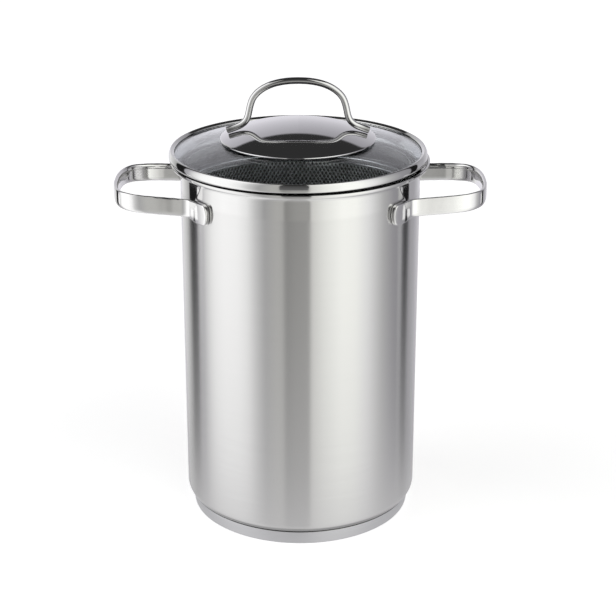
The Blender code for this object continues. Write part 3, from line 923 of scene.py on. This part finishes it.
# --------------------------------------------------------------------- studio
# The room round the pot, by direction. Azimuth is in degrees from the camera's
# side, plus towards +X; RING is the strength of the light at each azimuth, TOP
# the elevation up to which it reaches.
PLAIN, LILAC, WARM, LEAF = (1, 1, 1), (0.985, 0.97, 1.03), (1.005, 1.0, 0.965), (0.998, 1.006, 0.965)
RING = [
    (-180, 0.82, LILAC), (-162, 0.95, LILAC), (-150, 0.98, PLAIN), (-141, 0.78, PLAIN),
    (-133, 0.55, PLAIN), (-116, 0.50, LILAC), (-110, 0.58, LILAC), (-102, 1.05, PLAIN),
    (-92, 1.38, PLAIN), (-78, 1.48, PLAIN), (-62, 1.42, PLAIN), (-52, 1.22, PLAIN),
    (-43, 0.80, PLAIN), (-34, 0.50, PLAIN), (-22, 0.60, WARM), (-17, 0.58, WARM),
    (-13.5, 0.36, WARM), (-4, 0.44, WARM), (9.3, 0.47, WARM), (10.2, 0.88, WARM),
    (24, 1.20, LEAF), (40, 1.44, LEAF), (54, 1.42, LEAF), (68, 1.16, PLAIN),
    (86, 0.62, PLAIN), (100, 0.42, LILAC), (114, 0.36, LILAC), (128, 0.50, LILAC),
    (140, 0.50, LILAC), (156, 0.72, LILAC), (180, 0.80, LILAC)]
TOP = [(-180, 33.5), (-140, 33.5), (-118, 62), (-18.5, 62), (-15.5, -4), (9, -4), (11, 62),
       (118, 62), (140, 33.5), (180, 33.5)]
# upright black flags beside the pot and the slots of white left next to them:
# azimuth from, to; the slots also have an elevation from, to
FLAGS = [(-132.0, -116.0), (115.0, 127.0)]
FLAG_FOOT = -25.0
SLOTS = [(-115.5, -107.5, 1.35), (107.0, 114.0, 1.0)]
SLOT_EL = (-19.5, -15.2)
TABLE_LIGHT = 0.84
# share of the table's light at each distance from the pot's axis, in metres
TABLE_FADE = [(0.09, 0.85), (0.133, 0.66), (0.224, 0.42), (0.30, 0.32), (0.432, 0.20),
              (0.56, 0.08), (0.68, 0.0)]


def studio():
    scene = bpy.context.scene
    world = bpy.data.worlds.new("studio")
    scene.world = world
    world.use_nodes = True
    nt = world.node_tree
    nt.nodes.clear()
    k = Nodes(nt)
    d = k.new("ShaderNodeTexCoord").outputs["Generated"]
    s = k.new("ShaderNodeSeparateXYZ")
    k.put(d, s.inputs[0])
    az = k.math("MULTIPLY", k.math("ARCTAN2", s.outputs[0],
                                   k.math("MULTIPLY", s.outputs[1], -1.0)), 180 / math.pi)
    el = k.math("MULTIPLY", k.math("ARCSINE", s.outputs[2]), 180 / math.pi)
    turn = k.remap(az, -180.0, 180.0, 0.0, 1.0)

    def ramp(stops):
        n = k.new("ShaderNodeValToRGB")
        k.put(turn, n.inputs[0])
        cr = n.color_ramp
        cr.interpolation = "LINEAR"
        for i, (a, c) in enumerate(stops):
            pos = (a + 180.0) / 360.0
            e = cr.elements[i] if i < 2 else cr.elements.new(pos)
            e.position = pos
            e.color = (*c, 1)
        return n.outputs["Color"]

    def ramp_sorted(stops):
        # the two stops that a new ramp has are set to the ends first
        return ramp([stops[0], stops[-1]] + stops[1:-1])

    ring = ramp_sorted([(a, tuple(v * 0.5 * t for t in tint)) for a, v, tint in RING])
    top = k.math("MULTIPLY", ramp_sorted([(a, (h / 90.0 * 0.5 + 0.5,) * 3) for a, h in TOP]), 1.0)
    top = k.math("MULTIPLY", k.math("SUBTRACT", top, 0.5), 180.0)
    above = k.math("SUBTRACT", el, top)
    lit = k.remap(above, -1.2, 1.2, 1.0, 0.0, True)
    # the backdrop behind the pot gets dimmer towards its upper edge
    behind = k.remap(k.math("ABSOLUTE", az), 105.0, 150.0, 0.0, 1.0, True)
    fall = k.math("SUBTRACT", 1.0, k.math("MULTIPLY", behind,
                                          k.remap(el, 4.0, 34.0, 0.0, 0.46)))
    # dim wall behind the camera, darker the higher it goes, and a dark ceiling
    facing = k.remap(k.math("ABSOLUTE", az), 40.0, 90.0, 1.0, 0.0, True)
    wall = k.math("ADD", k.math("MULTIPLY", k.remap(el, 0.0, 50.0, 0.13, 0.0), facing), 0.036)
    dim = k.new("ShaderNodeCombineColor")
    for i in range(3):
        k.put(wall, dim.inputs[i])

    def window(value, lo, hi, soft):
        return k.math("MULTIPLY", k.remap(value, lo - soft, lo + soft, 0.0, 1.0, True),
                      k.remap(value, hi - soft, hi + soft, 1.0, 0.0, True))

    # the flags shade the ring above their foot
    shade = 1.0
    for lo, hi in FLAGS:
        shade = k.math("SUBTRACT", shade, window(az, lo, hi, 0.8))
    foot = k.remap(el, FLAG_FOOT - 4.0, FLAG_FOOT + 4.0, 1.0, 0.0, True)
    shade = k.math("MAXIMUM", k.math("MAXIMUM", shade, foot), 0.03)
    slot = 0.0
    for lo, hi, v in SLOTS:
        slot = k.math("ADD", slot, k.math("MULTIPLY", window(az, lo, hi, 0.8), v))
    slot = k.math("MULTIPLY", slot, window(el, SLOT_EL[0], SLOT_EL[1], 0.8))
    light = k.new("ShaderNodeMix", data_type="RGBA", blend_type="MULTIPLY")
    light.inputs["Factor"].default_value = 1.0
    k.put(ring, light.inputs["A"])
    gain = k.new("ShaderNodeCombineColor")
    for i in range(3):
        k.put(k.math("MULTIPLY", k.math("MULTIPLY", fall, shade), 2.0), gain.inputs[i])
    k.put(gain.outputs[0], light.inputs["B"])
    extra = k.new("ShaderNodeMix", data_type="RGBA", blend_type="LIGHTEN")
    extra.inputs["Factor"].default_value = 1.0
    k.put(light.outputs["Result"], extra.inputs["A"])
    white_slot = k.new("ShaderNodeCombineColor")
    for i in range(3):
        k.put(slot, white_slot.inputs[i])
    k.put(white_slot.outputs[0], extra.inputs["B"])
    room = k.new("ShaderNodeMix", data_type="RGBA")
    k.put(lit, room.inputs["Factor"])
    k.put(dim.outputs[0], room.inputs["A"])
    k.put(extra.outputs["Result"], room.inputs["B"])
    bg = k.new("ShaderNodeBackground")
    k.put(room.outputs["Result"], bg.inputs["Color"])
    white = k.new("ShaderNodeBackground")
    white.inputs["Color"].default_value = (1, 1, 1, 1)
    path = k.new("ShaderNodeLightPath")
    mix = k.new("ShaderNodeMixShader")
    k.put(path.outputs["Is Camera Ray"], mix.inputs[0])
    k.put(bg.outputs[0], mix.inputs[1])
    k.put(white.outputs[0], mix.inputs[2])
    out = k.new("ShaderNodeOutputWorld")
    k.put(mix.outputs[0], out.inputs["Surface"])


studio()


def disc(name, radius, z):
    me = bpy.data.meshes.new(name)
    bm = bmesh.new()
    bmesh.ops.create_circle(bm, cap_ends=True, segments=96, radius=radius)
    for v in bm.verts:
        v.co.z = z
    bm.to_mesh(me)
    bm.free()
    return link(bpy.data.objects.new(name, me))


def table():
    """What the steel mirrors of the table: lit near the pot, fading outward."""
    ob = disc("studio_table", 0.7, -0.0004)
    mat = bpy.data.materials.new("lit_table")
    mat.use_nodes = True
    nt = mat.node_tree
    nt.nodes.clear()
    k = Nodes(nt)
    sep = k.new("ShaderNodeSeparateXYZ")
    k.put(k.new("ShaderNodeTexCoord").outputs["Object"], sep.inputs[0])
    r = k.math("SQRT", k.math("ADD", k.math("MULTIPLY", sep.outputs[0], sep.outputs[0]),
                              k.math("MULTIPLY", sep.outputs[1], sep.outputs[1])))
    n = k.new("ShaderNodeValToRGB")
    k.put(r, n.inputs[0])
    stops = [TABLE_FADE[0], TABLE_FADE[-1]] + TABLE_FADE[1:-1]
    for i, (at, v) in enumerate(stops):
        e = n.color_ramp.elements[i] if i < 2 else n.color_ramp.elements.new(at)
        e.position = at
        e.color = (v, v, v, 1)
    fade = n.outputs["Color"]
    glow = k.new("ShaderNodeEmission")
    glow.inputs["Color"].default_value = (0.99, 0.985, 1.0, 1)
    # the far side of the table gets less of the light
    k.put(k.math("MULTIPLY", k.remap(sep.outputs[1], -0.1, 0.1, 1.0, 0.65, True),
                 TABLE_LIGHT), glow.inputs["Strength"])
    clear = k.new("ShaderNodeBsdfTransparent")
    mix = k.new("ShaderNodeMixShader")
    k.put(fade, mix.inputs[0])
    k.put(clear.outputs[0], mix.inputs[1])
    k.put(glow.outputs[0], mix.inputs[2])
    out = k.new("ShaderNodeOutputMaterial")
    k.put(mix.outputs[0], out.inputs["Surface"])
    ob.data.materials.append(mat)
    ob.visible_camera = False
    ob.visible_diffuse = False
    ob.visible_transmission = False
    ob.visible_shadow = False


table()

floor_mesh = bpy.data.meshes.new("studio_floor")
bm = bmesh.new()
bmesh.ops.create_circle(bm, cap_ends=True, segments=96, radius=4.0)
bm.to_mesh(floor_mesh)
bm.free()
floor = link(bpy.data.objects.new("studio_floor", floor_mesh))
fmat, fnt, fb = new_material("pale_floor")
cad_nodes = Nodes(fnt)
fb.inputs["Base Color"].default_value = (0.9, 0.9, 0.9, 1)
fb.inputs["Roughness"].default_value = 0.8
fb.inputs["Specular IOR Level"].default_value = 0.1
fb.inputs["Emission Color"].default_value = (1, 1, 1, 1)
fb.inputs["Emission Strength"].default_value = 0.62
floor_mesh.materials.append(fmat)
floor.visible_glossy = False
floor.visible_transmission = False
floor.visible_diffuse = False

# --------------------------------------------------------------------- camera
F_PX, DIST, CX = 1666.0893, 1162.43, 300.33337
ELEV, ROLL, AIM = math.radians(21.20018), math.radians(-0.062366), 144.191
cam = bpy.data.cameras.new("camera")
cam_ob = link(bpy.data.objects.new("camera", cam))
fwd = Vector((0, math.cos(ELEV), -math.sin(ELEV)))
right = Vector((1, 0, 0))
up = right.cross(fwd)
r2 = right * math.cos(ROLL) + up * math.sin(ROLL)
u2 = -right * math.sin(ROLL) + up * math.cos(ROLL)
rot = Matrix((r2, u2, -fwd)).transposed().to_4x4()
pos = Vector((0, -DIST * math.cos(ELEV), AIM + DIST * math.sin(ELEV))) * MM
cam_ob.matrix_world = Matrix.Translation(pos) @ rot
cam.sensor_width = 36.0
cam.lens = F_PX * 36.0 / 616.0
cam.shift_x = (308.0 - CX) / 616.0
cam.clip_start, cam.clip_end = 0.05, 20.0
bpy.context.scene.camera = cam_ob
bpy.context.scene.view_settings.view_transform = "Standard"
bpy.context.scene.cycles.max_bounces = 14
bpy.context.scene.cycles.glossy_bounces = 8
bpy.context.scene.cycles.transmission_bounces = 10
